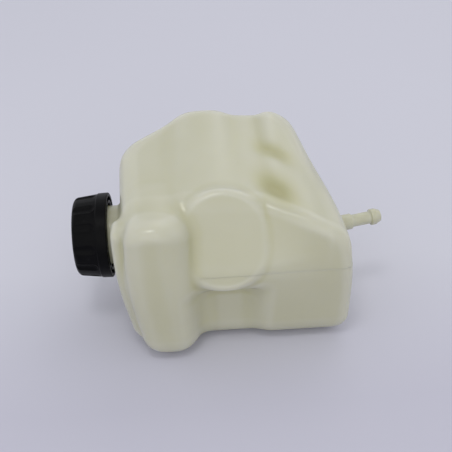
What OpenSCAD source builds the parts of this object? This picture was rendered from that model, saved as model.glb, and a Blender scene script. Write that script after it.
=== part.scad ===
// Coolant expansion tank, lying on its side with the filler neck towards -X.
// A blown translucent shell carries the neck and a hose nipple, and a ribbed
// screw cap holds a pressure and vacuum valve in a plug inside the neck.
// Millimetres, +Z up. The tank's datum lies on the neck's axis plane: its walls
// are given as distances from it, and origin_shift then centres the whole part.

/* [Tank walls] */
// Datum to the wall that carries the neck, at the parting plane
neck_side = 78; // [75:1:81]
// Datum to the wall on the nipple's side, at the parting plane
nipple_side = 87; // [83:1:91]
// Datum to the front wall, at the parting plane
front_side = 59; // [57:1:62]
// Datum to the back wall, at the parting plane
back_side = 84; // [78:1:90]
// Height of the parting plane, which holds the neck's and the nipple's axes
parting_z = 68; // [66:1:71]
// Height of the top surface at the back
top_z = 125.8; // [123:0.1:132]
// Thickness of the blown shell
shell_t = 3; // [2:0.5:3.5]
// How far the top surface falls for each millimetre towards the front
top_fall = 0.09; // [0.06:0.005:0.11]
// Height of the two humps along the top of the back wall
hump_h = 7; // [3:0.5:8]
// Turn of the slanted wall behind the nipple, in plan
slant_turn = 13.5; // [12:0.5:18]
// Turn of the cut-off corner at the back of the neck side, in plan
corner_turn = 49; // [45:1:53]

/* [Front lobe and shoulder] */
// How far the lobe stands out of the front wall
lobe_proud = 11; // [9:1:13]
// How far the lobe's outer side lies behind the wall that carries the neck
lobe_step = 6; // [4:1:9]
// Datum to the lobe's inner side, beside the boss
lobe_inner = 26; // [23:1:28]
// Height of the lobe's crown
lobe_top = 114.5; // [112:0.5:116]
// Turn of the lobe's inner side towards the front, in plan
lobe_turn = 25; // [20:1:32]
// How far the shoulder in front of the neck stands out of the neck's wall
shoulder_proud = 2; // [1:0.5:4]
// Height of the shoulder
shoulder_top = 104; // [100:1:107]

/* [Front boss and recess] */
// Radius of the boss's round ends
boss_r = 31; // [29:1:32]
// Half of the straight stretch between the boss's ends
boss_half = 4.5; // [3:0.5:6]
// How far the boss lies from the datum, towards the neck
boss_aside = 3; // [1:0.5:5]
// How far the boss leans back from upright, in degrees
boss_lean = 27.5; // [25:0.5:29]
// How far the boss stands out of the front wall
boss_proud = 2; // [1.5:0.5:4]
// Depth of the recess under the boss, from the front wall
recess_depth = 12; // [9:1:14]
// Datum to the recess's side away from the lobe
recess_side = 24; // [22:1:27]
// Turn of that side towards the front, in plan
recess_turn = 30; // [24:1:36]

/* [Valleys in the top] */
// Depth of the valley in the middle of the top
valley_rear_depth = 2.5; // [1.5:0.5:4]
// Depth of the valley behind the front edge
valley_front_depth = 4; // [3:0.5:6]

/* [Neck] */
// Outer radius of the neck
neck_r = 21.5; // [21:0.25:22]
// Thickness of the neck's wall
neck_t = 3; // [2.5:0.25:3.5]
// Length of the neck from its wall to its mouth
neck_len = 26.5; // [25:0.5:32]
// How far the neck's axis lies behind the datum
neck_y = 1; // [0:0.5:4]

/* [Hose nipple] */
// Outer radius of the nipple's shaft
nipple_r = 4.6; // [4.4:0.1:5]
// Radius of the nipple's bore
nipple_bore_r = 3; // [2.5:0.1:3.4]
// Radius of the barb at the nipple's end
barb_r = 6; // [5.6:0.1:6.5]
// Length of the barb
barb_len = 8; // [6:0.5:10]
// Length of the nipple outside the wall
nipple_len = 34; // [30:1:42]
// Radius of the thicker stretch at the nipple's root
nipple_root_r = 5.8; // [5.4:0.1:6.4]
// Length of that stretch
nipple_root_len = 11; // [8:0.5:13]
// How far in front of the datum the nipple leaves its wall
nipple_y = 3.5; // [1:0.5:7]

/* [Cap] */
// Radius of the collar at the cap's rim
cap_rim_r = 31.3; // [31:0.1:33]
// Radius of the grip at the rim's end
grip_r = 30.6; // [30:0.1:31]
// Radius of the grip at the closed end
cap_end_r = 29; // [28.6:0.1:29.8]
// Length of the cap's skirt below the neck's mouth
skirt_len = 19.5; // [18:0.5:22]
// Height of the collar at the rim
collar_h = 8; // [7:0.5:9]
// Thickness of the cap's deck
deck_t = 2.8; // [2.4:0.1:4]
// Rounding of the closed end's edge
cap_edge_r = 4; // [3:0.5:5]
// Number of grip flutes
flutes = 12; // [8:1:14]
// Radius of a flute
flute_r = 6.5; // [5:0.5:7]
// Depth of a flute
flute_depth = 2; // [1.2:0.1:2.4]
// Radius of the cap's threaded bore, over the neck's thread
cap_bore_r = 23.8; // [23.6:0.1:24.2]

/* [Valve plug] */
// Thickness of the flat gasket on the neck's mouth
gasket_t = 1.5; // [1:0.25:2]
// Thickness of the plug's flange
flange_t = 1.5; // [1.25:0.25:2]
// Outer radius of the plug's flange
flange_r = 22.8; // [22.6:0.1:22.9]
// Outer radius of the plug's cup
cup_r = 16.2; // [15.8:0.1:16.4]
// Thickness of the cup's wall
cup_t = 2; // [1.6:0.1:2.2]
// Depth of the cup below the neck's mouth
cup_depth = 20; // [19:0.5:23]
// Radius of the opening in the cup's floor
seat_r = 9; // [8.5:0.25:9.5]
// Section radius of the O-ring round the plug
ring_r = 1.35; // [1.2:0.05:1.5]
// Depth of the O-ring below the neck's mouth
ring_depth = 12.5; // [11:0.5:13.5]
// Thickness of the spring cover that closes the cup
cover_t = 1.5; // [1.25:0.25:1.75]

/* [Valves] */
// Radius of the pressure valve's plate
plate_r = 13.4; // [13:0.1:13.6]
// Thickness of the pressure valve's plate
plate_t = 1.5; // [1:0.25:2]
// Thickness of the seal under the plate
seal_t = 1.6; // [1.2:0.2:2]
// Inner radius of the seal
seal_bore_r = 6.5; // [6.3:0.1:7]
// Mean radius of the pressure spring
spring_r = 10.5; // [10.3:0.1:11]
// Wire radius of the pressure spring
spring_wire_r = 0.9; // [0.7:0.05:1]
// Turns of the pressure spring
spring_turns = 5; // [4:1:6]
// Radius of the vacuum valve's disc
vacuum_r = 6; // [5.8:0.1:6.1]
// Thickness of the vacuum valve's disc
vacuum_t = 1.2; // [1:0.1:1.4]
// Radius of the vacuum valve's stem
stem_r = 1.5; // [1.3:0.1:1.6]
// Length of the stem above the pressure plate's underside
stem_len = 9.6; // [9:0.2:11]
// Wire radius of the vacuum spring
vacuum_wire_r = 0.3; // [0.25:0.05:0.35]
// Turns of the vacuum spring
vacuum_turns = 5; // [4:1:6]

/* [Fits] */
// Gap between parts that turn or slide past each other with room
loose_gap = 0.3; // [0.2:0.05:0.4]
// Gap between a shaft or ring and the bore that it runs in
running_gap = 0.05; // [0.03:0.01:0.08]

/* [Hidden] */
$fn = 72;
eps = 0.01;

// Draft of the mould's two halves, in degrees, and the blend between them
neck_draft_up = 2;
neck_draft_down = 10;
side_draft_up = 6;
side_draft_down = 0.5;
lobe_draft = 3;
corner_draft = 4;
front_draft_down = 8;
back_draft_up = 7;
back_draft_down = 4;
slant_draft_up = 9;
slant_draft_down = 3;
draft_blend = 4;

// Above the neck its wall leans in further and turns in towards the front
upper_draft = 8;
upper_turn = 7;
upper_at = [-neck_side + 0.8, 18];
upper_rise = 42;
upper_blend = 6;

// The front wall above the parting plane leans back most at the boss
lean_at_boss = 0.52;
lean_at_side = 0.2;
lean_rate = 0.0075;

// Blends of the shell's edges: the larger the value, the softer the edge
side_blend = 12;
slant_blend = 10;
front_blend = 8;
back_blend = 13;
corner_blend = 12;
top_blend = 13;
floor_blend = 20;
shoulder_blend = 8;
shoulder_join = 4;
lobe_blend = 13;
lobe_crown_blend = 10;
lobe_join = 6;
hidden_blend = 16;
boss_edge_r = 4;
boss_join = 5;
recess_blend = 8;

// Where the slanted wall and the cut-off corner pass through in plan
slant_at = [nipple_side - 1, -22];
corner_at = [-neck_side - 3, 40.5];

// Humps and valleys of the top: place, half widths and turn in plan
hump_at = [-15, 48];
hump_w = [21, 17];
fall_x = 26;
side_fall = 0.32;
fall_blend = 14;
valley_rear_at = [38, 20.5];
valley_rear_w = [8, 15];
valley_rear_turn = 47;
valley_front_at = [36.5, -21];
valley_front_w = [11, 19];
valley_front_turn = 33;
valley_h = 20;

// Shoulder, lobe, boss and recess: places that follow the sizes above
shoulder_out = neck_side + shoulder_proud;
shoulder_front = front_side - 4;
shoulder_back = 27;
shoulder_in = 40;
lobe_front = front_side + lobe_proud;
lobe_outer = neck_side - lobe_step;
lobe_back = 10;
lobe_side_y = lobe_front - 6;
lobe_mid = 51;
lobe_crown = 0.014;
lobe_inner_draft = 9;
lobe_inner_lift = 12;
boss_foot = [-front_side - 2, parting_z - 10];
boss_mid = 35;
boss_back = 60;
recess_floor = front_side - recess_depth;
recess_drop = 16;
recess_top = parting_z - recess_drop;
arch_lift = 1.6;
recess_arch_z = boss_foot[1] + (boss_mid - boss_half) * cos(boss_lean) + arch_lift;

// Rays that sample the shell start on an inner block and spread to all sides
ray_cols = 64;
ray_rows = 40;
ray_core = [44, 30, 18];
ray_mid = [-12, 4, 60];
ray_reach = 125;
ray_steps = 14;

// Neck and cap places, along the neck's axis from the mouth outwards
bore_r = neck_r - neck_t;
mouth_x = -neck_side - neck_len;
neck_flare = 3.5;
flange_z = gasket_t;
deck_z = flange_z + flange_t;
cap_end_z = deck_z + deck_t;
bead_r = neck_r + 2 * loose_gap;
bead_z = flange_z - loose_gap;
bead_t = 0.9;
groove_r = [cap_bore_r + 2, cap_rim_r - 2.7];
groove_depth = collar_h - 1;
face_recess = 0.8;
face_recess_r = cap_end_r - 7;

// Plug and valves, heights along the same axis
land_r = bore_r - 0.8;
land_h = 2.1;
ring_mid_r = bore_r - running_gap - ring_r;
groove_half = ring_r + running_gap;
cup_floor_t = 2;
lip_h = 0.8;
lip_t = 1.2;
ledge_z = flange_z + flange_t - cover_t - 1;
ledge_w = 0.8;
seat_z = cup_floor_t + lip_h - cup_depth;
plate_z = seat_z + seal_t;
hub_r = stem_r + running_gap + 1.25;
hub_h = 4.6;
vent_r = 0.65;
vent_at = vacuum_r - 2 * vent_r;
vents = 4;
washer_t = 1;
washer_z = plate_z + stem_len - washer_t;
washer_r = 4.4;
stem_head_h = 0.6;
vacuum_spring_r = hub_r + vacuum_wire_r + 0.4;
guide_r = spring_r - spring_wire_r - loose_gap;
guide_t = 1.2;
guide_h = 3;
cover_hole_r = 5.5;
slot_w = 3;

// The nipple stands square to the slanted wall
nipple_flare = 1.4;
nipple_flare_len = 2.5;
nipple_step = 1;
wall_at_nipple = slant_at[0] + (slant_at[1] + nipple_y) * tan(slant_turn);
nipple_tip_r = nipple_r - 0.7;
nipple_tip_x = wall_at_nipple + nipple_len * cos(slant_turn) + nipple_tip_r * sin(slant_turn);

// Centre of the part's outline in plan, which becomes the origin
origin_shift = [(mouth_x - cap_end_z + nipple_tip_x) / 2, (back_side - lobe_front) / 2, 0];

// Greater of two fields, with the edge between them rounded over about k
function soft_max(a, b, k) = max(a, b) + pow(max(k - abs(a - b), 0), 2) / (4 * k);
function soft_min(a, b, k) = -soft_max(-a, -b, k);

// A moulded wall: d is the distance outside it at the parting plane, and it
// leans inwards by `up` degrees above that plane and by `down` degrees below it
function drafted(d, z, up, down) =
  let (h = z - parting_z)
  soft_max(d * cos(up) + h * sin(up), d * cos(down) - h * sin(down), draft_blend);

// A bump of height 1 with a flat crown
function hump(x, at, w) = exp(-pow((x - at) / w, 4));

function top_height(x, y) =
  let (rear = max((y + front_side) / (front_side + back_side), 0))
  top_z - top_fall * (back_side - y) - side_fall * soft_max(x - fall_x, 0, fall_blend)
  + hump_h * rear * (hump(x, hump_at[0], hump_w[0]) + hump(x, hump_at[1], hump_w[1]));

function front_wall(p) =
  let (
    lean = min(lean_at_boss, max(lean_at_side, lean_at_boss - lean_rate * (p.x - boss_r + boss_edge_r))),
    out = -p.y - front_side
  )
  soft_max(
    (out + (p.z - parting_z) * lean) / norm([1, lean]),
    drafted(out, p.z, 0, front_draft_down),
    boss_edge_r
  );

// The main mass: six drafted walls and a sloping top
function main_mass(p) =
  let (
    upper = (upper_at[0] - p.x) * cos(upper_turn) - (p.y - upper_at[1]) * sin(upper_turn),
    upper_lean = (p.z - parting_z - upper_rise) * sin(upper_draft),
    slant = (p.x - slant_at[0]) * cos(slant_turn) + (p.y - slant_at[1]) * sin(slant_turn),
    corner = (p.y - corner_at[1]) * sin(corner_turn) - (p.x - corner_at[0]) * cos(corner_turn),
    ends = soft_max(
      drafted(-p.x - neck_side, p.z, neck_draft_up, neck_draft_down),
      drafted(p.x - nipple_side, p.z, side_draft_up, side_draft_down),
      side_blend
    ),
    eased = soft_max(ends, upper * cos(upper_draft) + upper_lean, upper_blend),
    slanted = soft_max(eased, drafted(slant, p.z, slant_draft_up, slant_draft_down), slant_blend),
    backed = soft_max(
      slanted,
      drafted(p.y - back_side, p.z, back_draft_up, back_draft_down),
      back_blend
    ),
    cornered = soft_max(
      backed,
      drafted(corner, p.z, corner_draft, corner_draft),
      corner_blend
    ),
    topped = soft_max(cornered, p.z - top_height(p.x, p.y), top_blend)
  )
  soft_max(topped, front_wall(p), front_blend);

// The shoulder in front of the neck
function shoulder(p) =
  let (
    out = drafted(-p.x - shoulder_out, p.z, 0, neck_draft_down - 1),
    front = drafted(-p.y - shoulder_front, p.z, neck_draft_down, corner_draft),
    depth = soft_max(front, p.y + shoulder_back, shoulder_blend),
    sides = soft_max(soft_max(out, depth, shoulder_blend), p.x + shoulder_in, hidden_blend)
  )
  soft_max(sides, p.z - shoulder_top, shoulder_blend);

// Distance from the lobe's inner side: below zero is on the lobe's side of it
function lobe_side(p) = (p.x + lobe_inner) * cos(lobe_turn) - (p.y + lobe_side_y) * sin(lobe_turn);

// The rounded pillar at the front, under the neck's side
function lobe(p) =
  let (
    face = drafted(-p.y - lobe_front, p.z, front_draft_down, lobe_draft),
    flanks = soft_max(
      drafted(-p.x - lobe_outer, p.z, lobe_draft, front_draft_down),
      drafted(lobe_side(p), p.z + lobe_inner_lift, lobe_inner_draft, 0),
      hidden_blend
    ),
    round_face = soft_max(face, flanks, lobe_blend),
    backed = soft_max(round_face, p.y + lobe_back, floor_blend)
  )
  soft_max(backed, p.z - lobe_top + lobe_crown * pow(p.x + lobe_mid, 2), lobe_crown_blend);

// A stretched round boss that leans back with the front wall
function boss(p) =
  let (
    q = [p.y - boss_foot[0], p.z - boss_foot[1]],
    along = q[0] * cos(boss_lean) - q[1] * sin(boss_lean),
    up = q[0] * sin(boss_lean) + q[1] * cos(boss_lean) - boss_mid,
    half_depth = (boss_back + boss_proud) / 2,
    a = norm([p.x + boss_aside, max(abs(up) - boss_half, 0)]) - boss_r + boss_edge_r,
    b = abs(along - half_depth + boss_proud) - half_depth + boss_edge_r
  )
  norm([max(a, 0), max(b, 0)]) + min(max(a, b), 0) - boss_edge_r;

// The recess below the boss, between the lobe and the wall beside it
function recess(p) =
  let (
    far_side = (p.x - recess_side) * cos(recess_turn) + (p.y + front_side) * sin(recess_turn),
    width = soft_max(-lobe_side(p), far_side, recess_blend),
    height = soft_max(p.z - recess_top, p.y + recess_floor, recess_blend)
  )
  soft_max(
    soft_max(width, height, recess_blend),
    boss_r + 1 - norm([p.x + boss_aside, p.z - recess_arch_z]),
    boss_proud
  );

// A dent in the top: w holds its half widths across and along its turned axis
function valley(p, at, w, turn, depth) =
  let (
    across = (p.x - at[0]) * cos(turn) + (p.y - at[1]) * sin(turn),
    along = (p.y - at[1]) * cos(turn) - (p.x - at[0]) * sin(turn),
    q = [across / w[0], along / w[1], (p.z - top_height(at[0], at[1])) / valley_h]
  )
  depth * exp(-q * q);

// The shell's outer surface is where this is zero: below zero is inside
function tank_field(p) =
  let (
    with_shoulder = soft_min(main_mass(p), shoulder(p), shoulder_join),
    with_lobe = soft_min(with_shoulder, lobe(p), lobe_join),
    with_boss = soft_min(with_lobe, boss(p), boss_join),
    recessed = soft_max(with_boss, -recess(p), recess_blend)
  )
  soft_max(recessed, -p.z, floor_blend)
  + valley(p, valley_rear_at, valley_rear_w, valley_rear_turn, valley_rear_depth)
  + valley(p, valley_front_at, valley_front_w, valley_front_turn, valley_front_depth);

// Halves the stretch from a to b along a ray until it holds the surface closely
function crossing(start, dir, a, b, inset, steps) =
  let (mid = (a + b) / 2)
  steps == 0 ? mid
  : tank_field(start + dir * mid) + inset < 0 ? crossing(start, dir, mid, b, inset, steps - 1)
  : crossing(start, dir, a, mid, inset, steps - 1);

// A point of the skin; those at the floor lie exactly in the plane it rests on
function ray_point(lon, lat, inset) =
  let (
    dir = [cos(lat) * cos(lon), cos(lat) * sin(lon), sin(lat)],
    start = ray_mid + [ray_core.x * dir.x, ray_core.y * dir.y, ray_core.z * dir.z],
    point = start + dir * crossing(start, dir, 0, ray_reach, inset, ray_steps)
  )
  [point.x, point.y, point.z < eps ? 0 : point.z];

// A closed skin at a depth of `inset` under the tank's outer surface
module tank_skin(inset) {
  rings = ray_rows - 1;
  ring_points = [
    for (j = [1:rings], i = [0:ray_cols - 1])
      ray_point(360 * i / ray_cols, -90 + 180 * j / ray_rows, inset)
  ];
  low = len(ring_points);
  points = concat(ring_points, [ray_point(0, -90, inset), ray_point(0, 90, inset)]);
  side_faces = [
    for (j = [0:rings - 2], i = [0:ray_cols - 1], half = [0, 1])
      let (
        a = j * ray_cols + i,
        b = j * ray_cols + (i + 1) % ray_cols,
        c = a + ray_cols,
        d = b + ray_cols
      )
      half == 0 ? [a, d, b] : [a, c, d]
  ];
  low_faces = [for (i = [0:ray_cols - 1]) [low, i, (i + 1) % ray_cols]];
  high = (rings - 1) * ray_cols;
  high_faces = [for (i = [0:ray_cols - 1]) [low + 1, high + (i + 1) % ray_cols, high + i]];
  polyhedron(points = points, faces = concat(side_faces, low_faces, high_faces));
}

module centred() {
  translate(-origin_shift)
    children();
}

// Children are drawn with +Z out of the neck and z = 0 at its mouth
module on_neck() {
  centred()
    translate([mouth_x, neck_y, parting_z])
      rotate([0, -90, 0])
        children();
}

// Children are drawn with +Z out of the nipple and z = 0 at its wall
module on_nipple() {
  translate([wall_at_nipple, -nipple_y, parting_z])
    rotate([0, 90, slant_turn])
      children();
}

// The neck and its flare, as one turned profile that starts inside the wall
module neck_outside() {
  sunk = 6;
  rotate_extrude()
    polygon([
      [0, -neck_len - sunk],
      [neck_r + neck_flare, -neck_len - sunk],
      [neck_r + neck_flare, -neck_len + 0.4],
      [neck_r + 1, -neck_len + 1.4],
      [neck_r, -neck_len + neck_flare],
      [neck_r, -0.6],
      [neck_r - 0.6, 0],
      [0, 0]
    ]);
}

module nipple_outside() {
  sunk = 5;
  tip_z = nipple_len;
  rotate_extrude()
    polygon([
      [0, -sunk],
      [nipple_root_r + nipple_flare, -sunk],
      [nipple_root_r + nipple_flare, 0.5],
      [nipple_root_r, nipple_flare_len],
      [nipple_root_r, nipple_root_len],
      [nipple_r, nipple_root_len + nipple_step],
      [nipple_r, tip_z - barb_len],
      [barb_r, tip_z - barb_len + 0.5],
      [barb_r, tip_z - barb_len / 2],
      [nipple_r, tip_z - 0.6],
      [nipple_tip_r, tip_z],
      [0, tip_z]
    ]);
}

module tank_body() {
  bore_past_wall = 12;
  color([0.80, 0.80, 0.70])
    centred()
      difference() {
        union() {
          tank_skin(0);
          translate([mouth_x, neck_y, parting_z])
            rotate([0, -90, 0])
              neck_outside();
          on_nipple()
            nipple_outside();
        }
        tank_skin(shell_t);
        translate([mouth_x - eps, neck_y, parting_z])
          rotate([0, 90, 0])
            cylinder(r = bore_r, h = neck_len + bore_past_wall);
        on_nipple()
          translate([0, 0, -bore_past_wall])
            cylinder(r = nipple_bore_r, h = nipple_len + bore_past_wall + eps);
      }
}

// Grip, collar and rounded closed end as one turned profile
module cap_outside() {
  rim_z = -skirt_len;
  collar_z = rim_z + collar_h;
  round_end = [
    for (a = [0:15:90])
      [cap_end_r - cap_edge_r * (1 - cos(a)), cap_end_z - cap_edge_r * (1 - sin(a))]
  ];
  rotate_extrude()
    polygon(concat(
      [
        [0, rim_z],
        [cap_rim_r - 0.5, rim_z],
        [cap_rim_r, rim_z + 0.6],
        [cap_rim_r - 0.2, collar_z - 0.6],
        [grip_r, collar_z]
      ],
      round_end,
      [[0, cap_end_z]]
    ));
}

// The neck, the gasket and the plug's flange pass into the cap from its rim
module cap_inside() {
  rim_z = -skirt_len;
  rotate_extrude()
    polygon([
      [0, rim_z - eps],
      [cap_bore_r + 0.6, rim_z - eps],
      [cap_bore_r, rim_z + 0.6],
      [cap_bore_r, bead_z - bead_t - 0.5],
      [bead_r, bead_z - bead_t],
      [bead_r, bead_z],
      [flange_r + loose_gap, bead_z + eps],
      [flange_r + loose_gap, deck_z],
      [0, deck_z]
    ]);
}

// The flutes lean inwards with the grip's taper, so that their depth stays even
module grip_flutes() {
  flute_mid = grip_r + flute_r - flute_depth;
  flute_foot = -skirt_len + collar_h + 5;
  grip_taper = atan((grip_r - cap_end_r) / (cap_end_z + skirt_len - collar_h));
  for (i = [0:flutes - 1])
    rotate([0, 0, 360 * (i + 0.5) / flutes])
      translate([flute_mid, 0, flute_foot])
        rotate([0, -grip_taper, 0]) {
          cylinder(r = flute_r, h = cap_end_z - flute_foot + 2);
          sphere(r = flute_r);
        }
}

module cap_shell() {
  color([0.08, 0.08, 0.09])
    on_neck()
      difference() {
        cap_outside();
        cap_inside();
        grip_flutes();
        translate([0, 0, -skirt_len - eps])
          difference() {
            cylinder(r = groove_r[1], h = groove_depth);
            translate([0, 0, -1])
              cylinder(r = groove_r[0], h = groove_depth + 2);
          }
        translate([0, 0, cap_end_z - face_recess])
          cylinder(r = face_recess_r, h = 1 + face_recess);
      }
}

// The plug's cup: flange, O-ring groove between two lands, floor with a seat
module valve_housing() {
  inner_r = cup_r - cup_t;
  ring_z = -ring_depth;
  color([0.12, 0.12, 0.13])
    on_neck()
      rotate_extrude()
        polygon([
          [seat_r, -cup_depth],
          [cup_r, -cup_depth],
          [cup_r, ring_z - groove_half - land_h],
          [land_r, ring_z - groove_half - land_h],
          [land_r, ring_z - groove_half],
          [ring_mid_r - ring_r, ring_z - groove_half],
          [ring_mid_r - ring_r, ring_z + groove_half],
          [land_r, ring_z + groove_half],
          [land_r, ring_z + groove_half + land_h],
          [cup_r, ring_z + groove_half + land_h],
          [cup_r, flange_z],
          [flange_r, flange_z],
          [flange_r, flange_z + flange_t],
          [inner_r + ledge_w, flange_z + flange_t],
          [inner_r + ledge_w, ledge_z],
          [inner_r, ledge_z],
          [inner_r, cup_floor_t - cup_depth],
          [seat_r + lip_t, cup_floor_t - cup_depth],
          [seat_r + lip_t, seat_z],
          [seat_r, seat_z]
        ]);
}

module flat_ring(r_in, r_out, h) {
  rotate_extrude()
    translate([r_in, 0])
      square([r_out - r_in, h]);
}

module deck_gasket() {
  color([0.10, 0.10, 0.10])
    on_neck()
      flat_ring(bore_r + 0.4, neck_r - 0.3, gasket_t);
}

module plug_ring() {
  color([0.05, 0.05, 0.05])
    on_neck()
      translate([0, 0, -ring_depth])
        rotate_extrude()
          translate([ring_mid_r, 0])
            circle(r = ring_r);
}

// A slotted disc with a guide tube that centres the pressure spring
module spring_cover() {
  cover_r = cup_r - cup_t + ledge_w - running_gap;
  color([0.12, 0.12, 0.13])
    on_neck()
      difference() {
        union() {
          translate([0, 0, ledge_z])
            cylinder(r = cover_r, h = cover_t);
          translate([0, 0, ledge_z - guide_h])
            cylinder(r = guide_r, h = guide_h + eps);
        }
        translate([0, 0, ledge_z - guide_h - 1])
          cylinder(r = guide_r - guide_t, h = guide_h + 1);
        translate([0, 0, ledge_z - 1])
          cylinder(r = cover_hole_r, h = cover_t + 2);
        for (a = [0:90:270])
          rotate([0, 0, a])
            translate([guide_r + 1, -slot_w / 2, ledge_z - 1])
              cube([cover_r - guide_r - 2.5, slot_w, cover_t + 2]);
      }
}

module pressure_plate() {
  color([0.70, 0.70, 0.68])
    on_neck()
      translate([0, 0, plate_z])
        difference() {
          union() {
            cylinder(r = plate_r, h = plate_t);
            cylinder(r = hub_r, h = hub_h);
          }
          translate([0, 0, -1])
            cylinder(r = stem_r + running_gap, h = hub_h + 2);
          for (i = [0:vents - 1])
            rotate([0, 0, 360 * i / vents])
              translate([vent_at, 0, -1])
                cylinder(r = vent_r, h = plate_t + 2);
        }
}

module pressure_seal() {
  color([0.06, 0.06, 0.06])
    on_neck()
      translate([0, 0, seat_z])
        flat_ring(seal_bore_r, plate_r - 0.8, seal_t);
}

// A wire coil from z = 0 to z = h, its end turns pressed flat
module coil(mid_r, wire_r, turns, h, sides) {
  steps = turns * 18;
  span = h - 2 * wire_r;
  points = [
    for (i = [0:steps], k = [0:sides - 1])
      let (
        a = 360 * turns * i / steps,
        s = min(max((i / steps - 0.5 / turns) / (1 - 1 / turns), 0), 1),
        r = mid_r + wire_r * cos(360 * k / sides),
        z = wire_r + span * s + wire_r * sin(360 * k / sides)
      )
      [r * cos(a), r * sin(a), z]
  ];
  tube = [
    for (i = [0:steps - 1], k = [0:sides - 1], half = [0, 1])
      let (
        a = i * sides + k,
        b = i * sides + (k + 1) % sides
      )
      half == 0 ? [a, b, b + sides] : [a, b + sides, a + sides]
  ];
  first = [[for (k = [sides - 1:-1:0]) k]];
  last = [[for (k = [0:sides - 1]) steps * sides + k]];
  polyhedron(points = points, faces = concat(tube, first, last));
}

module pressure_spring() {
  foot = plate_z + plate_t;
  color([0.62, 0.62, 0.64])
    on_neck()
      translate([0, 0, foot])
        coil(spring_r, spring_wire_r, spring_turns, ledge_z - foot, 8);
}

// Disc and stem of the vacuum valve, with a head that keeps the washer on
module vacuum_valve() {
  color([0.72, 0.60, 0.34])
    on_neck()
      translate([0, 0, plate_z]) {
        translate([0, 0, -vacuum_t])
          cylinder(r = vacuum_r, h = vacuum_t);
        translate([0, 0, -eps])
          cylinder(r = stem_r, h = stem_len + 2 * eps);
        translate([0, 0, stem_len])
          cylinder(r = stem_r + 0.7, h = stem_head_h);
      }
}

module vacuum_spring() {
  foot = plate_z + plate_t;
  color([0.62, 0.62, 0.64])
    on_neck()
      translate([0, 0, foot])
        coil(vacuum_spring_r, vacuum_wire_r, vacuum_turns, washer_z - foot, 6);
}

module stem_washer() {
  color([0.70, 0.70, 0.68])
    on_neck()
      translate([0, 0, washer_z])
        flat_ring(stem_r, washer_r, washer_t);
}

tank_body();
cap_shell();
valve_housing();
deck_gasket();
plug_ring();
spring_cover();
pressure_plate();
pressure_seal();
pressure_spring();
vacuum_valve();
vacuum_spring();
stem_washer();
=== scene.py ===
"""Looks of the coolant expansion tank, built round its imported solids. Sizes here are in millimetres
from the tank's datum, as in the part's source; place() turns them into metres in the row frame."""

import math

import bmesh
import bpy
import numpy as np
from mathutils import Matrix, Vector


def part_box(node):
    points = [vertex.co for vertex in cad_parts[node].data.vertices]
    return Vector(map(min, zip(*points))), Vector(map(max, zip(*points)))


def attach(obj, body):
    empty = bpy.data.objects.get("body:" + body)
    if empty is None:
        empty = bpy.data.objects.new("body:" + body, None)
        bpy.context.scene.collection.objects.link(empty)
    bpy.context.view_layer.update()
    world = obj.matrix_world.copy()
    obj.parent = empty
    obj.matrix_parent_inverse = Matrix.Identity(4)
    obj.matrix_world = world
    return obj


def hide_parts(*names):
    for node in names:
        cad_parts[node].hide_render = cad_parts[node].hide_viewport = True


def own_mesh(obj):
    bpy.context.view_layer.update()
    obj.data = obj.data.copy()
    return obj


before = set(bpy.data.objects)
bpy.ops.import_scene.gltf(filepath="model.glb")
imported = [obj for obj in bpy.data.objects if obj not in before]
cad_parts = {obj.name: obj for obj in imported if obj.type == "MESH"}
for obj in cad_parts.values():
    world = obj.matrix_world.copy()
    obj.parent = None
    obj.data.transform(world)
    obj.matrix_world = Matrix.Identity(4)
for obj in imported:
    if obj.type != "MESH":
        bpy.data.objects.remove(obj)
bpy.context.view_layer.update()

# the tank's sizes and places, as in the source
neck_side, nipple_side, front_side, back_side = 78, 87, 59, 84
parting_z, top_z, shell_t = 68, 125.8, 3
top_fall, hump_h, slant_turn, corner_turn = 0.09, 7, 13.5, 49
lobe_proud, lobe_step, lobe_inner, lobe_top, lobe_turn = 11, 6, 26, 114.5, 25
lobe_front, lobe_outer = front_side + lobe_proud, neck_side - lobe_step
shoulder_proud, shoulder_top = 2, 104
shoulder_out = neck_side + shoulder_proud
boss_r, boss_half, boss_lean, boss_proud, boss_aside = 31, 4.5, 27.5, 2, 3
recess_depth, recess_side, recess_turn = 12, 24, 30
recess_floor = front_side - recess_depth
valley_rear_depth, valley_front_depth = 2.5, 4
neck_r, bore_r, neck_len, neck_y = 21.5, 18.5, 26.5, 1
nipple_r, nipple_bore_r, barb_r, barb_len, nipple_len, nipple_y = 4.6, 3, 6, 8, 34, 3.5
nipple_root_r, nipple_root_len = 5.8, 11
cap_bore_r = 23.8
lean_at_boss, lean_at_side, lean_rate = 0.52, 0.2, 0.0075
slant_at = (nipple_side - 1, -22)
corner_at = (-neck_side - 3, 40.5)
hump_at, hump_w = (-15, 48), (21, 17)
fall_x, side_fall, fall_blend = 26, 0.32, 14
valley_rear_at, valley_rear_w, valley_rear_turn = (38, 20.5), (8, 15), 47
valley_front_at, valley_front_w, valley_front_turn, valley_h = (36.5, -21), (11, 19), 33, 20
shoulder_front, shoulder_back, shoulder_in = front_side - 4, 27, 40
upper_rise, upper_turn, upper_draft = 42, 7, 8
upper_at, upper_z = (-neck_side + 0.8, 18), parting_z + upper_rise
lobe_back, lobe_side_y, lobe_mid, lobe_crown = 10, lobe_front - 6, 51, 0.014
lobe_inner_draft, lobe_inner_lift = 9, 12
boss_foot, boss_mid, boss_back, boss_edge_r = (-front_side - 2, parting_z - 10), 35, 60, 4
recess_drop, arch_lift = 16, 1.6
recess_top = parting_z - recess_drop
recess_arch_z = boss_foot[1] + (boss_mid - boss_half) * math.cos(math.radians(boss_lean)) + arch_lift
ray_mid, ray_core, ray_reach = np.array([-12.0, 4.0, 60.0]), np.array([44.0, 30.0, 18.0]), 125.0
mouth_x = -neck_side - neck_len
cap_end_z = 5.8
slant_angle = math.radians(slant_turn)
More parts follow.
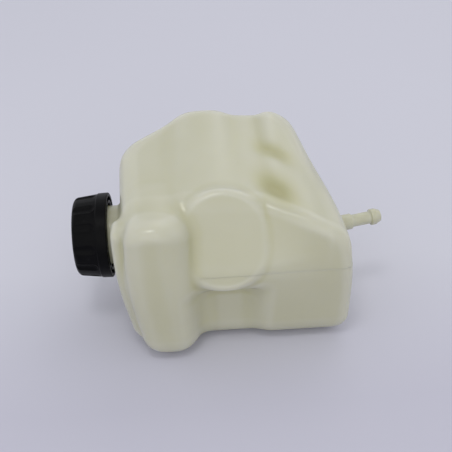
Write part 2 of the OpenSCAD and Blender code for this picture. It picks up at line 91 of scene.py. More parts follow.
nipple_tip_r = nipple_r - 0.7
wall_at_nipple = slant_at[0] + (slant_at[1] + nipple_y) * math.tan(slant_angle)
tip_x = wall_at_nipple + nipple_len * math.cos(slant_angle) + nipple_tip_r * math.sin(slant_angle)
shift = np.array([(mouth_x - cap_end_z + tip_x) / 2, (back_side - lobe_front) / 2, 0.0])

# drafts of the mould's two halves, in degrees
neck_draft_up, neck_draft_down, side_draft_up, side_draft_down = 2, 10, 6, 0.5
lobe_draft, corner_draft, front_draft_down = 3, 4, 8
back_draft_up, back_draft_down, slant_draft_up, slant_draft_down = 7, 4, 9, 3

# blends of the shell's edges: the larger the value, the softer the edge
draft_blend, side_blend, slant_blend, front_blend, back_blend = 4, 12, 10, 8, 13
corner_blend, top_blend, floor_blend, upper_blend, hidden_blend = 12, 13, 20, 6, 16
shoulder_blend, shoulder_join, lobe_blend, lobe_crown_blend, lobe_join = 8, 4, 13, 10, 6
boss_join, recess_blend = 5, 8


def cosd(a):
    return math.cos(math.radians(a))


def sind(a):
    return math.sin(math.radians(a))


def soft_max(a, b, k):
    """Greater of two fields, with the edge between them rounded over about k."""
    return np.maximum(a, b) + np.maximum(k - np.abs(a - b), 0) ** 2 / (4 * k)


def soft_min(a, b, k):
    return -soft_max(-a, -b, k)


def drafted(d, z, up, down):
    """A moulded wall: d outside it at the parting plane, leaning in above and below that plane."""
    h = z - parting_z
    return soft_max(d * cosd(up) + h * sind(up), d * cosd(down) - h * sind(down), draft_blend)


def hump(x, at, w):
    """A bump of height 1 with a flat crown."""
    return np.exp(-(((x - at) / w) ** 4))


def top_height(x, y):
    rear = np.maximum((y + front_side) / (front_side + back_side), 0)
    rise = hump_h * rear * (hump(x, hump_at[0], hump_w[0]) + hump(x, hump_at[1], hump_w[1]))
    return top_z - top_fall * (back_side - y) - side_fall * soft_max(x - fall_x, 0, fall_blend) + rise


def front_wall(x, y, z):
    """The front, which leans back above the parting plane, most of all at the boss."""
    lean = np.clip(lean_at_boss - lean_rate * (x - boss_r + boss_edge_r), lean_at_side, lean_at_boss)
    out = -y - front_side
    leaning = (out + (z - parting_z) * lean) / np.sqrt(1 + lean**2)
    return soft_max(leaning, drafted(out, z, 0, front_draft_down), boss_edge_r)


def main_mass(x, y, z):
    """The drafted walls and the sloping top."""
    slant = (x - slant_at[0]) * cosd(slant_turn) + (y - slant_at[1]) * sind(slant_turn)
    corner = (y - corner_at[1]) * sind(corner_turn) - (x - corner_at[0]) * cosd(corner_turn)
    upper = (upper_at[0] - x) * cosd(upper_turn) - (y - upper_at[1]) * sind(upper_turn)
    neck_wall = drafted(-x - neck_side, z, neck_draft_up, neck_draft_down)
    nipple_wall = drafted(x - nipple_side, z, side_draft_up, side_draft_down)
    d = soft_max(neck_wall, nipple_wall, side_blend)
    d = soft_max(d, upper * cosd(upper_draft) + (z - upper_z) * sind(upper_draft), upper_blend)
    d = soft_max(d, drafted(slant, z, slant_draft_up, slant_draft_down), slant_blend)
    d = soft_max(d, drafted(y - back_side, z, back_draft_up, back_draft_down), back_blend)
    d = soft_max(d, drafted(corner, z, corner_draft, corner_draft), corner_blend)
    d = soft_max(d, z - top_height(x, y), top_blend)
    return soft_max(d, front_wall(x, y, z), front_blend)


def shoulder(x, y, z):
    """The shoulder in front of the neck."""
    out = drafted(-x - shoulder_out, z, 0, neck_draft_down - 1)
    front = drafted(-y - shoulder_front, z, neck_draft_down, corner_draft)
    depth = soft_max(front, y + shoulder_back, shoulder_blend)
    sides = soft_max(soft_max(out, depth, shoulder_blend), x + shoulder_in, hidden_blend)
    return soft_max(sides, z - shoulder_top, shoulder_blend)


def lobe_side(x, y):
    """Distance from the lobe's inner side: below zero is on the lobe's side of it."""
    return (x + lobe_inner) * cosd(lobe_turn) - (y + lobe_side_y) * sind(lobe_turn)


def lobe(x, y, z):
    """The rounded pillar at the front, under the neck's side."""
    face = drafted(-y - lobe_front, z, front_draft_down, lobe_draft)
    outer = drafted(-x - lobe_outer, z, lobe_draft, front_draft_down)
    inner = drafted(lobe_side(x, y), z + lobe_inner_lift, lobe_inner_draft, 0)
    round_face = soft_max(face, soft_max(outer, inner, hidden_blend), lobe_blend)
    d = soft_max(round_face, y + lobe_back, floor_blend)
    return soft_max(d, z - lobe_top + lobe_crown * (x + lobe_mid) ** 2, lobe_crown_blend)


def boss(x, y, z):
    """A stretched round boss that leans back with the front wall."""
    q0, q1 = y - boss_foot[0], z - boss_foot[1]
    along = q0 * cosd(boss_lean) - q1 * sind(boss_lean)
    up = q0 * sind(boss_lean) + q1 * cosd(boss_lean) - boss_mid
    half = (boss_back + boss_proud) / 2
    a = np.hypot(x + boss_aside, np.maximum(np.abs(up) - boss_half, 0)) - boss_r + boss_edge_r
    b = np.abs(along - half + boss_proud) - half + boss_edge_r
    return np.hypot(np.maximum(a, 0), np.maximum(b, 0)) + np.minimum(np.maximum(a, b), 0) - boss_edge_r


def recess(x, y, z):
    """The recess below the boss, between the lobe and the wall beside it."""
    far_side = (x - recess_side) * cosd(recess_turn) + (y + front_side) * sind(recess_turn)
    width = soft_max(-lobe_side(x, y), far_side, recess_blend)
    height = soft_max(z - recess_top, y + recess_floor, recess_blend)
    arch = boss_r + 1 - np.hypot(x + boss_aside, z - recess_arch_z)
    return soft_max(soft_max(width, height, recess_blend), arch, boss_proud)


def valley(x, y, z, at, w, turn):
    """A dent in the top, 1 at its middle: w holds its half widths across and along its turned axis."""
    across = (x - at[0]) * cosd(turn) + (y - at[1]) * sind(turn)
    along = (y - at[1]) * cosd(turn) - (x - at[0]) * sind(turn)
    h = (z - top_height(*np.array(at, float))) / valley_h
    return np.exp(-((across / w[0]) ** 2) - (along / w[1]) ** 2 - h**2)


def field(p):
    """Below zero inside the tank's outer surface, in millimetres."""
    x, y, z = p[..., 0], p[..., 1], p[..., 2]
    d = soft_min(main_mass(x, y, z), shoulder(x, y, z), shoulder_join)
    d = soft_min(d, lobe(x, y, z), lobe_join)
    d = soft_min(d, boss(x, y, z), boss_join)
    d = soft_max(d, -recess(x, y, z), recess_blend)
    d = soft_max(d, -z, floor_blend)
    rear = valley(x, y, z, valley_rear_at, valley_rear_w, valley_rear_turn)
    front = valley(x, y, z, valley_front_at, valley_front_w, valley_front_turn)
    return d + valley_rear_depth * rear + valley_front_depth * front


def slope(p, step=0.4):
    """The field's unit gradient, which points out of the surface."""
    g = np.stack([field(p + step * e) - field(p - step * e) for e in np.eye(3)], -1)
    return g / np.maximum(np.linalg.norm(g, axis=-1, keepdims=True), 1e-9)


def hit(start, direction, reach, inset=0.0, steps=18):
    """Where rays that start inside the skin at that inset cross it."""
    a, b = np.zeros(start.shape[:-1]), np.full(start.shape[:-1], float(reach))
    for _ in range(steps):
        m = (a + b) / 2
        inside = field(start + direction * m[..., None]) + inset < 0
        a, b = np.where(inside, m, a), np.where(inside, b, m)
    return start + direction * ((a + b) / 2)[..., None]


# mesh helpers
def place(p):
    """Datum millimetres to row metres."""
    return (np.asarray(p, float) - shift) / 1000


def mesh_piece(name, verts, faces, look, sharp, outward=True):
    """A smooth piece of one material, with edges over `sharp` degrees kept sharp."""
    mesh = bpy.data.meshes.new(name)
    mesh.from_pydata(place(verts).tolist(), [], [tuple(int(i) for i in f) for f in faces])
    mesh.validate()
    if outward:
        bm = bmesh.new()
        bm.from_mesh(mesh)
        bmesh.ops.recalc_face_normals(bm, faces=bm.faces)
        bm.to_mesh(mesh)
        bm.free()
    mesh.polygons.foreach_set("use_smooth", [True] * len(mesh.polygons))
    mesh.set_sharp_from_angle(angle=math.radians(sharp))
    mesh.update()
    piece = bpy.data.objects.new(name, mesh)
    bpy.context.collection.objects.link(piece)
    mesh.materials.append(look)
    return piece


def grid_faces(rows, cols, offset=0, flip=False):
    """Quads over a rows x cols grid of points, wrapped round its columns."""
    j, i = np.meshgrid(np.arange(rows - 1), np.arange(cols), indexing="ij")
    a = offset + j * cols + i
    b = offset + j * cols + (i + 1) % cols
    quads = np.stack([a, b, b + cols, a + cols], -1).reshape(-1, 4)
    return quads[:, ::-1] if flip else quads


# materials
def material(name):
    """A new material with its nodes, links and shader."""
    m = bpy.data.materials.new(name)
    m.use_nodes = True
    nodes, links = m.node_tree.nodes, m.node_tree.links
    return m, nodes, links, nodes["Principled BSDF"]


def node(nodes, kind, **values):
    """A node with values set on the sockets or the properties that they name."""
    n = nodes.new(kind)
    for key, value in values.items():
        if key in n.inputs:
            n.inputs[key].default_value = value
        else:
            setattr(n, key, value)
    return n


def noise(nodes, links, scale, detail, rough=0.5, stretch=None):
    """A cloudy factor in the object's own space, with `scale` clouds to the metre."""
    tex = node(nodes, "ShaderNodeTexNoise", Scale=scale, Detail=detail, Roughness=rough)
    coord = nodes.new("ShaderNodeTexCoord")
    if stretch:
        mapping = node(nodes, "ShaderNodeMapping", Scale=stretch)
        links.new(coord.outputs["Object"], mapping.inputs["Vector"])
        links.new(mapping.outputs["Vector"], tex.inputs["Vector"])
    else:
        links.new(coord.outputs["Object"], tex.inputs["Vector"])
    return tex.outputs["Fac"]


def ramp(nodes, links, fac, stops):
    """A factor's colour between stops of (place, colour)."""
    r = nodes.new("ShaderNodeValToRGB")
    while len(r.color_ramp.elements) < len(stops):
        r.color_ramp.elements.new(0.5)
    for element, (at, colour) in zip(r.color_ramp.elements, stops):
        element.position = at
        element.color = (*colour, 1)
    links.new(fac, r.inputs["Fac"])
    return r.outputs["Color"]


def spread(nodes, links, fac, low, high):
    """A factor from 0 to 1 stretched over low to high."""
    r = node(nodes, "ShaderNodeMapRange")
    r.inputs["To Min"].default_value = low
    r.inputs["To Max"].default_value = high
    links.new(fac, r.inputs["Value"])
    return r.outputs["Result"]


def add_bump(nodes, links, bsdf, fac, distance, strength, before=None):
    """Unevenness of a height in metres, on top of an earlier one if there is one."""
    b = node(nodes, "ShaderNodeBump", Strength=strength, Distance=distance)
    links.new(fac, b.inputs["Height"])
    if before is not None:
        links.new(before, b.inputs["Normal"])
    links.new(b.outputs["Normal"], bsdf.inputs["Normal"])
    return b.outputs["Normal"]


def linear(r, g, b):
    """A colour read off as 0 to 255 becomes Blender's linear one."""
    return tuple(c / 255 / 12.92 if c <= 10 else ((c / 255 + 0.055) / 1.055) ** 2.4 for c in (r, g, b))


def towards_colour(nodes, links, fac, start, colour):
    """The start's colour, mixed by a factor towards a fixed one."""
    m = node(nodes, "ShaderNodeMix", data_type="RGBA")
    links.new(fac, m.inputs[0])
    links.new(start, m.inputs[6])
    m.inputs[7].default_value = (*colour, 1)
    return m.outputs[2]


def milky_plastic(name, painted_shading=True):
    """Milky translucent plastic with random cloudy tone, deeper and yellower where the mesh's painted
    shade is high, paler where its painted highlight is.
    """
    m, nodes, links, bsdf = material(name)
    cloud = noise(nodes, links, scale=26, detail=3)
    cloud_share = 0.16
    if painted_shading:
        # painted shade and highlight from the mesh, with random cloudy tone added
        shade_and_highlight = node(nodes, "ShaderNodeAttribute", attribute_name="shade_and_highlight")
        blend = node(nodes, "ShaderNodeMath", operation="MULTIPLY_ADD")
        links.new(cloud, blend.inputs[0])
        blend.inputs[1].default_value = cloud_share
        links.new(shade_and_highlight.outputs["Fac"], blend.inputs[2])
        tone_and_shade = blend.outputs[0]
    else:
        tone_and_shade = spread(nodes, links, cloud, 0.30, 0.46)
    # pale stops carry painted highlight, deep olive stops carry painted shade
    colour = ramp(nodes, links, tone_and_shade, [
        (0.00, linear(209, 209, 198)),
        (0.20, linear(199, 198, 180)),
        (0.36, linear(192, 191, 169)),
        (0.60, linear(185, 183, 151)),
        (1.00, linear(164, 161, 116)),
    ])
    links.new(colour, bsdf.inputs["Base Color"])
    bsdf.inputs["Subsurface Weight"].default_value = 0.7
    bsdf.inputs["Subsurface Radius"].default_value = (1.0, 0.95, 0.7)
    bsdf.inputs["Subsurface Scale"].default_value = 0.0025
    bsdf.inputs["Specular IOR Level"].default_value = 0.55
    worn = noise(nodes, links, scale=45, detail=4)
    links.new(spread(nodes, links, worn, 0.235, 0.275), bsdf.inputs["Roughness"])
    waves = noise(nodes, links, scale=24, detail=1)
    wavy = add_bump(nodes, links, bsdf, waves, distance=0.0007, strength=0.25)
    grain = noise(nodes, links, scale=700, detail=3)
    add_bump(nodes, links, bsdf, grain, distance=0.00004, strength=0.25, before=wavy)
    return m


def black_plastic(name, base, rough, specular):
    """Moulded black plastic, paler and duller in worn patches."""
    m, nodes, links, bsdf = material(name)
    wear = noise(nodes, links, scale=160, detail=6, rough=0.65)
    colour = ramp(nodes, links, wear, [
        (0.35, base),
        (0.62, tuple(c * 1.35 for c in base)),
        (0.80, tuple(c * 2.6 + 0.01 for c in base)),
    ])
    links.new(colour, bsdf.inputs["Base Color"])
    bsdf.inputs["Specular IOR Level"].default_value = specular
    links.new(spread(nodes, links, wear, rough - 0.08, rough + 0.14), bsdf.inputs["Roughness"])
    grain = noise(nodes, links, scale=2200, detail=3)
    add_bump(nodes, links, bsdf, grain, distance=0.00006, strength=0.6)
    return m


def rubber(name):
    """Black rubber with a trace of dust."""
    m, nodes, links, bsdf = material(name)
    dust = noise(nodes, links, scale=300, detail=5)
    colour = ramp(nodes, links, dust, [
        (0.4, (0.012, 0.012, 0.012)),
        (0.8, (0.035, 0.034, 0.032)),
    ])
    links.new(colour, bsdf.inputs["Base Color"])
    links.new(spread(nodes, links, dust, 0.5, 0.75), bsdf.inputs["Roughness"])
    grain = noise(nodes, links, scale=2500, detail=2)
    add_bump(nodes, links, bsdf, grain, distance=0.00004, strength=0.5)
    return m


def metal(name, base, rough, stretch):
    """Bright metal with fine marks, which are closer along an axis that stretch scales up."""
    m, nodes, links, bsdf = material(name)
    grain = noise(nodes, links, scale=900, detail=6, rough=0.6, stretch=stretch)
    colour = ramp(nodes, links, grain, [(0.3, tuple(c * 0.8 for c in base)), (0.7, base)])
    links.new(colour, bsdf.inputs["Base Color"])
    bsdf.inputs["Metallic"].default_value = 1.0
    links.new(spread(nodes, links, grain, rough - 0.06, rough + 0.12), bsdf.inputs["Roughness"])
    add_bump(nodes, links, bsdf, grain, distance=0.00002, strength=0.4)
    return m


tank_mat = milky_plastic("tank_milky_plastic")
trim_mat = milky_plastic("neck_milky_plastic", painted_shading=False)
cap_mat = black_plastic("cap_black_plastic", (0.0013, 0.0013, 0.0016), 0.37, specular=0.08)
plug_mat = black_plastic("plug_black_plastic", (0.010, 0.010, 0.011), 0.40, specular=0.3)
rubber_mat = rubber("seal_rubber")
plate_mat = metal("stainless_sheet", (0.62, 0.61, 0.59), 0.30, (1, 6, 1))
wire_mat = metal("drawn_wire", (0.56, 0.56, 0.57), 0.28, (8, 1, 1))
brass_mat = metal("turned_brass", (0.75, 0.56, 0.27), 0.28, (8, 1, 1))

NODE_LOOKS = {
    "cap_shell": cap_mat,
    "valve_housing": plug_mat,
    "spring_cover": plug_mat,
    "deck_gasket": rubber_mat,
    "plug_ring": rubber_mat,
    "pressure_seal": rubber_mat,
    "pressure_plate": plate_mat,
    "stem_washer": plate_mat,
    "vacuum_valve": brass_mat,
}
for name, look in NODE_LOOKS.items():
    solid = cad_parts[name]
    if not solid.material_slots:
        solid.data.materials.append(look)
    for s in solid.material_slots:
        s.material = look


# the blown shell
def skin(inset, cols=400, rows=250):
    """The field's surface at that inset, met by rays to all sides: points, quads, triangles."""
    lon = np.radians(360 * np.arange(cols) / cols)
    lat = np.radians(-90 + 180 * np.arange(1, rows) / rows)
    la, lo = np.meshgrid(lat, lon, indexing="ij")
    d = np.stack([np.cos(la) * np.cos(lo), np.cos(la) * np.sin(lo), np.sin(la)], -1)
    d = np.concatenate([d.reshape(-1, 3), [[0, 0, -1.0], [0, 0, 1.0]]])
    p = hit(ray_mid + ray_core * d, d, ray_reach, inset)
    low = (rows - 1) * cols
    i = np.arange(cols)
    quads = grid_faces(rows - 1, cols)
    foot = np.stack([np.full(cols, low), (i + 1) % cols, i], -1)
    last = (rows - 2) * cols
    crown = np.stack([np.full(cols, low + 1), last + i, last + (i + 1) % cols], -1)
    return p, quads, np.concatenate([foot, crown])


def around(p, start, axis):
    """Distance from an axis for points past its start, and endless for the others."""
    q = p - start
    t = q @ axis
    r = np.linalg.norm(q - t[:, None] * axis, axis=-1)
    return np.where(t > 0, r, np.inf)


neck_axis = np.array([-1.0, 0.0, 0.0])
neck_foot = np.array([-neck_side, neck_y, parting_z], float)
neck_start = np.array([-neck_side + 18, neck_y, parting_z], float)
nipple_axis = np.array([cosd(slant_turn), sind(slant_turn), 0.0])
nipple_foot = np.array([wall_at_nipple, -nipple_y, parting_z])
nipple_start = nipple_foot - 20 * nipple_axis


def shell():
    """Outer and inner skins, with holes where the neck's and the nipple's bores pass."""
    verts, faces = [], []
    count = 0
    for inset, flip in ((0.0, False), (shell_t, True)):
        p, quads, tris = skin(inset)
        neck_hole = around(p, neck_start, neck_axis) < (neck_r + bore_r) / 2
        nipple_hole = around(p, nipple_start, nipple_axis) < (nipple_r + nipple_bore_r) / 2
        gone = neck_hole | nipple_hole
        for f in (quads, tris):
            kept = f[~gone[f].any(1)]
            kept = kept[:, ::-1] if flip else kept
            faces += (kept + count).tolist()
        verts.append(p)
        count += len(p)
    return np.concatenate(verts), faces


def shade_and_highlight_of(p):
    """Painted shade and highlight, 0 pale to 1 deep: painted shade makes dents, creases and the front
    deeper, painted highlight makes round edges paler, and painted light makes the recess paler.
    """
    x, y, z = p[..., 0], p[..., 1], p[..., 2]
    probe, full_bend_r, recess_fade = 3.0, 8, 8
    rear_w, front_w = (9, 15), (11, 18)
    base, rear_share, front_share, recess_share, bend_share = 0.27, 0.42, 0.60, 0.14, 0.21
    # painted highlight on round edges and painted shade in creases, from the field's bend
    bend = sum(field(p + probe * e) + field(p - probe * e) for e in np.eye(3)) - 6 * field(p)
    bend = np.clip(bend / probe**2 * full_bend_r, -1, 1)
    # painted shade in the two dents of the top
    rear = valley(x, y, z, valley_rear_at, rear_w, valley_rear_turn)
    front = valley(x, y, z, valley_front_at, front_w, valley_front_turn)
    out = slope(p)
    # painted shade on faces turned to the front and to the nipple's side
    side = 0.10 * np.clip(-out[..., 1], 0, 1) + 0.04 * np.clip(out[..., 0], 0, 1)
    # painted light: the recess under the boss made paler
    hollow = np.clip(-recess(x, y, z - 4) / recess_fade + 0.4, 0, 1) * (y < 0)
    t = base + side + front_share * front + rear_share * rear - recess_share * hollow - bend_share * bend
    return np.clip(t, 0, 1)


shell_verts, shell_faces = shell()
tank = mesh_piece("tank_shell", shell_verts, shell_faces, tank_mat, 60, outward=False)
# the outer skin's painted shade and highlight, given to the inner skin too
shade_and_highlight = tank.data.attributes.new("shade_and_highlight", "FLOAT", "POINT")
half = len(shell_verts) // 2
outer_shade_and_highlight = shade_and_highlight_of(shell_verts[:half])
shade_and_highlight.data.foreach_set("value", np.concatenate([outer_shade_and_highlight, outer_shade_and_highlight]).astype(np.float32))
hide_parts("tank_body")
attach(tank, "tank")


# neck and nipple, each one turned tube
def tube(name, origin, axis, profile_in, profile_out, bore, outside, fillet, inset_fillet, segments=160):
    """A tube on the shell: from a fillet on the inner skin, through its bore and round its end,
    and back along the outside to a fillet on the outer skin. Profiles are (radius, distance)."""
    behind, far, rim, tuck, arc_points = 25, 60, 0.3, 0.15, 9
    sideways = np.array([-axis[1], axis[0], 0.0])
    a = 2 * np.pi * np.arange(segments) / segments
    spoke = np.cos(a)[:, None] * sideways + np.sin(a)[:, None] * np.array([0, 0, 1.0])

    def skin_at(radius, inset):
        """How far along the axis the skin at that inset is, all round at a radius."""
        start = origin - behind * axis + radius * spoke
        p = hit(start, np.broadcast_to(axis, start.shape), far, inset)
        return ((p - origin) @ axis)[:, None]

    inner_rim, outer_rim = bore + inset_fillet + rim, outside + fillet + rim
    steps = np.radians(np.linspace(90, 0, arc_points))
    rings = [(inner_rim, skin_at(inner_rim, shell_t) + tuck)]
    for f in steps:
        radius = bore + inset_fillet * (1 - np.cos(f))
        rings.append((radius, skin_at(radius, shell_t) + inset_fillet * (1 - np.sin(f))))
    for radius, distance in profile_in + profile_out:
        rings.append((radius, np.full((segments, 1), float(distance))))
    for f in steps[::-1]:
        radius = outside + fillet * (1 - np.cos(f))
        rings.append((radius, skin_at(radius, 0) + fillet * (1 - np.sin(f))))
    rings.append((outer_rim, skin_at(outer_rim, 0) - tuck))
    verts = np.concatenate([origin + radius * spoke + distance * axis for radius, distance in rings])
    faces = grid_faces(len(rings), segments)
    piece = mesh_piece(name, verts, faces, trim_mat, 50)
    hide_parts("tank_body")
    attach(piece, "tank")


tube(
    "filler_neck", neck_foot, neck_axis,
    [
        (bore_r, neck_len / 2),
        (bore_r, neck_len - 0.7),
        (bore_r + 0.1, neck_len - 0.3),
        (bore_r + 0.5, neck_len),
    ],
    [
        (neck_r - 0.6, neck_len),
        (neck_r - 0.15, neck_len - 0.2),
        (neck_r, neck_len - 0.6),
        (neck_r, neck_len / 2),
        (neck_r, 7.5),
    ],
    bore_r, neck_r, fillet=3.2, inset_fillet=1.4,
)
barb_foot, barb_mid = nipple_len - barb_len, nipple_len - barb_len / 2
tube(
    "hose_nipple", nipple_foot, nipple_axis,
    [
        (nipple_bore_r, nipple_len / 2),
        (nipple_bore_r, nipple_len - 0.4),
        (nipple_bore_r + 0.3, nipple_len),
    ],
    [
        (nipple_r - 0.9, nipple_len),
        (nipple_r - 0.3, nipple_len - 0.25),
        (nipple_r + 0.1, nipple_len - 0.9),
        (barb_r - 0.25, barb_mid + 0.4),
        (barb_r, barb_mid),
        (barb_r, barb_foot + 0.9),
        (barb_r - 0.2, barb_foot + 0.55),
        (nipple_r + 0.2, barb_foot + 0.1),
        (nipple_r, barb_foot - 0.3),
        (nipple_r, nipple_root_len + 1.1),
        (nipple_root_r - 0.25, nipple_root_len + 0.2),
        (nipple_root_r, nipple_root_len - 0.3),
        (nipple_root_r, 4),
    ],
    nipple_bore_r, nipple_root_r, fillet=1.6, inset_fillet=0.8, segments=64,
)


# threads of the neck and the cap
def thread(name, root_r, outwards, first, last, phase, look, body):
    """Ridges along right-handed helices round the neck's axis, each with run-out ends. They stand
    out from a tube, with outwards 1, or in from a bore, with outwards -1."""
    steps, run_out, sunk, foot, crest = 150, 0.06, 0.25, 2.0, 0.9
    height, sink = outwards * thread_h, outwards * sunk
    verts, faces = [], []
    for s in range(thread_starts):
        u = np.linspace(0, 1, steps)
        turn = (last - first) / thread_lead
        angle = 2 * np.pi * (turn * u + s / thread_starts) + phase
        z = first + (last - first) * u
        grow = np.clip(np.minimum(u, 1 - u) / run_out, 0, 1)
        grow = grow * grow * (3 - 2 * grow)
        rows = []
        for dz, top in ((-foot / 2, 0), (-crest / 2, 1), (crest / 2, 1), (foot / 2, 0)):
            r = np.where(top, root_r + height * grow - sink * (1 - grow), root_r - sink)
            y, up = neck_y + r * np.sin(angle), parting_z + r * np.cos(angle)
            rows.append(np.stack([mouth_x - (z + dz), y, up], -1))
        base = s * steps * len(rows)
        verts.append(np.stack(rows, 1).reshape(-1, 3))
        faces += grid_faces(steps, len(rows), offset=base, flip=outwards > 0).tolist()
        last_row = base + (steps - 1) * len(rows)
        faces.append([base + i for i in (0, 1, 2, 3)])
        faces.append([last_row + i for i in (3, 2, 1, 0)])
    piece = mesh_piece(name, np.concatenate(verts), faces, look, 30)
    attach(piece, body)
    return piece


# the cap's thread stands off the neck's by the play, along the axis
thread_h, thread_lead, thread_starts, thread_play = 1.7, 8.0, 2, 0.75
play_angle = 2 * np.pi * thread_play / thread_lead
neck_thread = thread(
    "neck_thread", neck_r, outwards=1, first=-14.6, last=-3.2, phase=0.0,
    look=trim_mat, body="tank",
)
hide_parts("tank_body")
thread(
    "cap_thread", cap_bore_r, outwards=-1, first=-15.6, last=-3.4, phase=play_angle,
    look=cap_mat, body="knob",
)


# springs of the cap's valves
def spring(name, node_name, wire_r, turns, body):
    """A wire coil in its CAD node's box, its end turns pressed flat."""
    end_gap, steps_per_turn, sides = 0.02, 40, 12
    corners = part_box(node_name)
    low, high = (np.array(corner) * 1000 + shift for corner in corners)
    axis_at = (low + high) / 2
    length = high[0] - low[0]
    mid_r = max(high[1] - low[1], high[2] - low[2]) / 2 - wire_r
    steps = turns * steps_per_turn + 1
    u = np.linspace(0, 1, steps)[:, None]
    round_wire = np.linspace(0, 2 * np.pi, sides, endpoint=False)[None, :]
    angle = 2 * np.pi * turns * u
    rise = np.clip((u - 0.5 / turns) / (1 - 1 / turns), 0, 1)
    r = mid_r + wire_r * np.cos(round_wire)
    first_z = wire_r + end_gap
    along = first_z + (length - 2 * first_z) * rise + wire_r * np.sin(round_wire)
    y, z = axis_at[1] + r * np.sin(angle), axis_at[2] + r * np.cos(angle)
    ring = np.stack([high[0] - along, y, z], -1)
    faces = grid_faces(steps, sides).tolist()
    faces += [list(range(sides)), list(range((steps - 1) * sides, steps * sides))[::-1]]
    piece = mesh_piece(name, ring.reshape(-1, 3), faces, wire_mat, 60)
    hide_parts(node_name)
    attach(piece, body)
    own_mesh(piece)


spring(
    "pressure_coil", "pressure_spring", wire_r=0.9, turns=5,
    body="plug",
)
spring(
    "vacuum_coil", "vacuum_spring", wire_r=0.3, turns=5,
    body="pressure_valve",
)


# the mould's parting seam
def seam():
    """A thin flash ridge where the two mould halves met, all round but for the neck and the nipple,
    and trimmed flush over the lobe and the boss."""
    step, sunk, foot, crest = 0.4, 0.12, 0.42, 0.16
    clear_of_neck, clear_of_nipple = 3, 2.2
    flash, trimmed_by = 0.22, 0.06
    kept_from_x, kept_from_y, fade = 12, -20, 16
    lon = np.radians(np.arange(0, 360, step))
    d = np.stack([np.cos(lon), np.sin(lon), 0 * lon], -1)
    start = np.array([ray_mid[0], ray_mid[1], parting_z]) + ray_core * d
    p = hit(start, d, ray_reach)
    out = slope(p)
    out[:, 2] = 0
    out /= np.linalg.norm(out, axis=1, keepdims=True)
    up = np.array([0, 0, 1.0])
    kept = np.clip((p[:, 0] - kept_from_x) / fade, 0, 1) + np.clip((p[:, 1] - kept_from_y) / fade, 0, 1)
    proud = (flash * np.clip(kept, 0, 1) - trimmed_by)[:, None]
    low_foot, high_foot = p - sunk * out - foot * up, p - sunk * out + foot * up
    low_crest, high_crest = p + proud * out - crest * up, p + proud * out + crest * up
    verts = np.stack([low_foot, low_crest, high_crest, high_foot], 1).reshape(-1, 3)
    at_neck = around(p, neck_start, neck_axis) < neck_r + clear_of_neck
    at_nipple = around(p, nipple_start, nipple_axis) < nipple_r + clear_of_nipple
    drawn = ~(at_neck | at_nipple)
    faces = []
    for i in range(len(p)):
        k = (i + 1) % len(p)
        if drawn[i] and drawn[k]:
            faces += [[4 * i + c, 4 * k + c, 4 * k + c + 1, 4 * i + c + 1] for c in range(3)]
    used = sorted({v for f in faces for v in f})
    place_of = {v: j for j, v in enumerate(used)}
    faces = [[place_of[v] for v in f] for f in faces]
    piece = mesh_piece("mould_seam", verts[used], faces, trim_mat, 60)
    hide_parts("tank_body")
    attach(piece, "tank")


seam()


# floor, light and camera
def floor_paint():
    """Pale paint with random patches, and painted shade that makes it a little darker towards the
    camera.
    """
    m, nodes, links, bsdf = material("floor_paint")
    patches = noise(nodes, links, scale=1.5, detail=2)
    tone = ramp(nodes, links, patches, [
        (0.3, linear(207, 207, 217)),
        (0.7, linear(209, 209, 219)),
    ])
    where = nodes.new("ShaderNodeSeparateXYZ")
    links.new(nodes.new("ShaderNodeTexCoord").outputs["Object"], where.inputs["Vector"])
    # painted shade: light falling off towards the camera
    nearer = node(nodes, "ShaderNodeMapRange", **{"From Min": 0.04, "From Max": -0.12})
    links.new(where.outputs["Y"], nearer.inputs["Value"])
    colour = towards_colour(nodes, links, nearer.outputs["Result"], tone, linear(194, 193, 206))
    links.new(colour, bsdf.inputs["Base Color"])
    bsdf.inputs["Roughness"].default_value = 0.9
    bsdf.inputs["Specular IOR Level"].default_value = 0.1
    return m


def lay_floor():
    """A wide square of painted floor under the tank."""
    half = 6.0
    corners = [(-half, -half, 0), (half, -half, 0), (half, half, 0), (-half, half, 0)]
    mesh = bpy.data.meshes.new("floor")
    mesh.from_pydata(corners, [], [(0, 1, 2, 3)])
    mesh.materials.append(floor_paint())
    floor = bpy.data.objects.new("floor", mesh)
    bpy.context.collection.objects.link(floor)


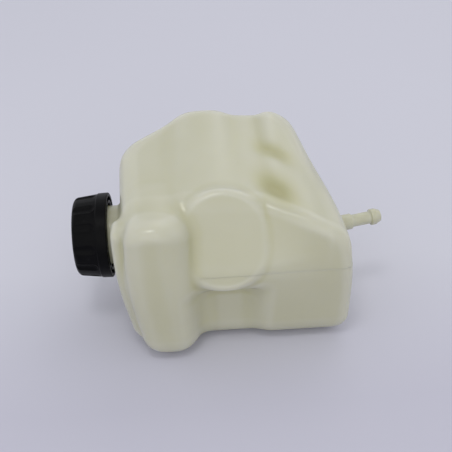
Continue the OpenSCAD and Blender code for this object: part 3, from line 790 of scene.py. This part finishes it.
def area_light(name, at, width, watts, colour):
    """A round lamp that points at the tank."""
    aim = Vector((0, 0, 0.05))
    lamp = bpy.data.lights.new(name, "AREA")
    lamp.shape = "DISK"
    lamp.size = width
    lamp.energy = watts
    lamp.color = colour
    rig = bpy.data.objects.new(name, lamp)
    rig.location = at
    rig.rotation_euler = (aim - Vector(at)).to_track_quat("-Z", "Y").to_euler()
    bpy.context.collection.objects.link(rig)


def pale_room():
    """Soft light from all round, weaker from overhead than from the horizon."""
    world = bpy.data.worlds.new("room")
    world.use_nodes = True
    bpy.context.scene.world = world
    nodes, links = world.node_tree.nodes, world.node_tree.links
    background = nodes["Background"]
    background.inputs["Color"].default_value = (0.95, 0.96, 1.0, 1)
    split = nodes.new("ShaderNodeSeparateXYZ")
    links.new(nodes.new("ShaderNodeTexCoord").outputs["Generated"], split.inputs["Vector"])
    links.new(spread(nodes, links, split.outputs["Z"], 0.98, 0.66), background.inputs["Strength"])


def photo_camera():
    """The photograph's view. Its lens is given as a focal length in the picture's own pixels."""
    azimuth, height, roll = math.radians(-1.0), math.radians(35.0), math.radians(-3.0)
    focal_px, picture_px, distance = 880, 452, 0.65
    target = Vector(place((0, 0, 70)))
    level = math.cos(height)
    back = Vector((math.sin(azimuth) * level, -math.cos(azimuth) * level, math.sin(height)))
    right = Vector((math.cos(azimuth), math.sin(azimuth), 0))
    up = back.cross(right)
    rolled_right = right * math.cos(roll) + up * math.sin(roll)
    rolled_up = -right * math.sin(roll) + up * math.cos(roll)
    lens = bpy.data.cameras.new("camera")
    lens.sensor_width = 36
    lens.lens = focal_px / picture_px * lens.sensor_width
    camera = bpy.data.objects.new("camera", lens)
    bpy.context.collection.objects.link(camera)
    turn = Matrix((rolled_right, rolled_up, back)).transposed().to_4x4()
    camera.matrix_world = Matrix.Translation(target + back * distance) @ turn
    bpy.context.scene.camera = camera


lay_floor()
area_light("window", (0.55, 1.15, 1.55), 1.3, 3.0, (1.0, 0.99, 0.97))
area_light("ceiling", (-0.15, -0.5, 1.45), 0.4, 3.0, (1.0, 1.0, 0.99))
area_light("front_fill", (0.1, -1.7, 0.9), 1.8, 5.5, (1.0, 0.99, 0.96))
pale_room()
photo_camera()
bpy.context.scene.view_settings.view_transform = "Standard"
